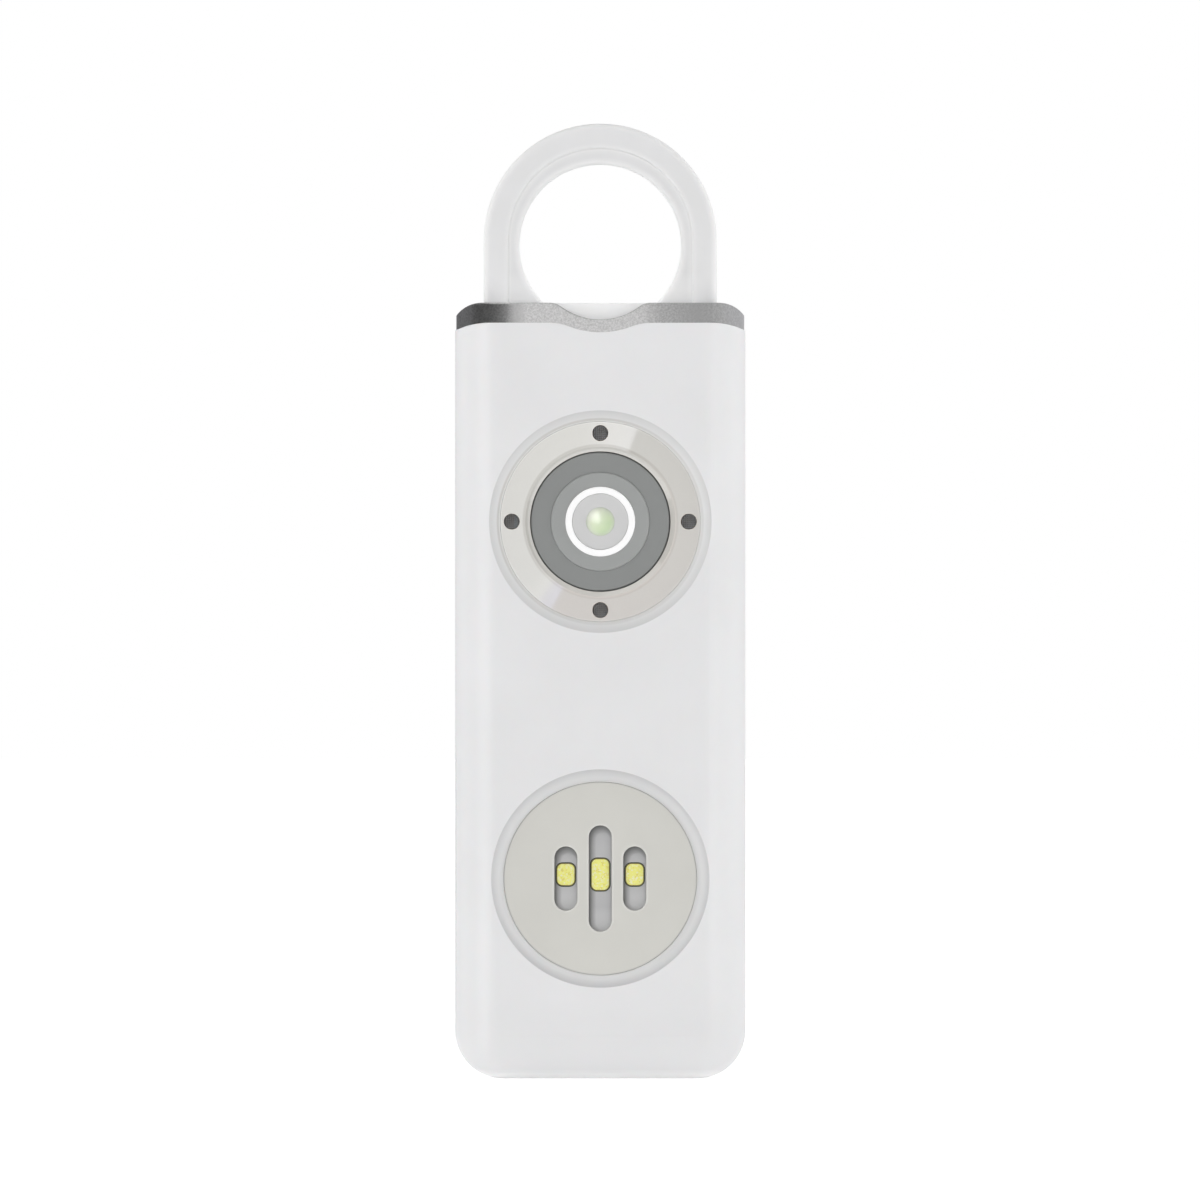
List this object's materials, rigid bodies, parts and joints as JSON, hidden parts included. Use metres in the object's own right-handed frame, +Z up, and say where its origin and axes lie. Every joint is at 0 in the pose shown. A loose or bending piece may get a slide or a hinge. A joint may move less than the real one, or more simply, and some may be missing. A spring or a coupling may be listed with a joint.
{
  "type": "personal alarm",
  "caption": "Slim pocket alarm: pull ring in a metal cap on top, push button inside a siren bezel, and a slotted lamp cover below.",
  "frame": {"origin": "centre of the flat base, midway between the front and back faces", "axes": "+Z up the case towards the pull ring, -Y out of the front face with the button, +X to the right seen from the front"},
  "size_m": [0.0304, 0.0136, 0.1],
  "materials": {
    "case_white": "fine satin moulded texture",
    "cap_metal": "fine blasted satin",
    "ring_milky": "milky, slightly translucent, smooth satin",
    "bezel_pearl": "glossy pearl with a spun sheen",
    "dust_mesh": "fine woven mesh",
    "button_dark_grey": "smooth satin",
    "button_mid_grey": "smooth satin",
    "button_white": "gloss",
    "button_light_grey": "satin gloss",
    "lens_green": "translucent gloss",
    "lamp_cover_grey": "fine matte",
    "lamp_tray_grey": "matte",
    "lamp_housing": "dark edge",
    "phosphor_yellow": "grainy resin",
    "inner_plastic": "matte",
    "switch_black": "matte",
    "plunger_white": "smooth",
    "circuit_board": "solder mask",
    "chip_black": "matte epoxy",
    "indicator_resin": "clear resin",
    "ferrite": "matte",
    "copper_wire": "enamelled copper",
    "capacitor_tan": "matte",
    "sounder_brass": "satin",
    "sounder_ceramic": "silvered",
    "contact_nickel": "bright plated",
    "spring_steel": "satin",
    "cell_steel": "satin",
    "screw_steel": "satin",
    "foam_black": "open foam"
  },
  "bodies": {
    "case": {"front_shell": "case_white", "rear_shell": "case_white", "battery_cover": "case_white", "top_cap": "cap_metal", "detent_clip": "spring_steel", "trigger_switch": "switch_black", "siren_bezel": "bezel_pearl", "siren_mesh": "dust_mesh", "tact_switches": "switch_black", "indicator_led": "indicator_resin", "lamp_cover": "lamp_cover_grey", "lamp_tray": "lamp_tray_grey", "lamp_board": "circuit_board", "lamp_led_packages": "lamp_housing", "lamp_led_phosphors": "phosphor_yellow", "main_board": "circuit_board", "driver_chip": "chip_black", "coil_core": "ferrite", "coil_winding": "copper_wire", "transistors": "chip_black", "chip_capacitors": "capacitor_tan", "siren_chamber": "inner_plastic", "piezo_disc": "sounder_brass", "piezo_ceramic": "sounder_ceramic", "piezo_contacts": "contact_nickel", "foam_ring": "foam_black", "coin_cells": "cell_steel", "battery_tray": "inner_plastic", "negative_contact": "contact_nickel", "positive_contact": "contact_nickel", "battery_cover_screw": "screw_steel", "case_screws": "screw_steel"},
    "pull": {"pull_ring": "ring_milky"},
    "trigger": {"trigger_plunger": "plunger_white"},
    "button": {"button_cap": "button_dark_grey", "button_pad": "button_mid_grey", "button_white_ring": "button_white", "button_insert": "button_light_grey", "button_lens": "lens_green", "tact_plungers": "plunger_white"}
  },
  "joints": [
    {"name": "pull_slide", "type": "slide", "parent": "case", "child": "pull", "axis": [0, 0, 1], "range_m": [0, 0.015]},
    {"name": "trigger_slide", "type": "slide", "parent": "case", "child": "trigger", "axis": [0, 0, 1], "range_m": [0, 0.0005]},
    {"name": "button_slide", "type": "slide", "parent": "case", "child": "button", "axis": [0, 1, 0], "range_m": [0, 0.0003], "stiffness_N_per_m": 2000, "springref_m": -0.0003}
  ],
  "couplings": [
    {"joint": "trigger_slide", "follows": "pull_slide", "ratio": 0.033}
  ]
}
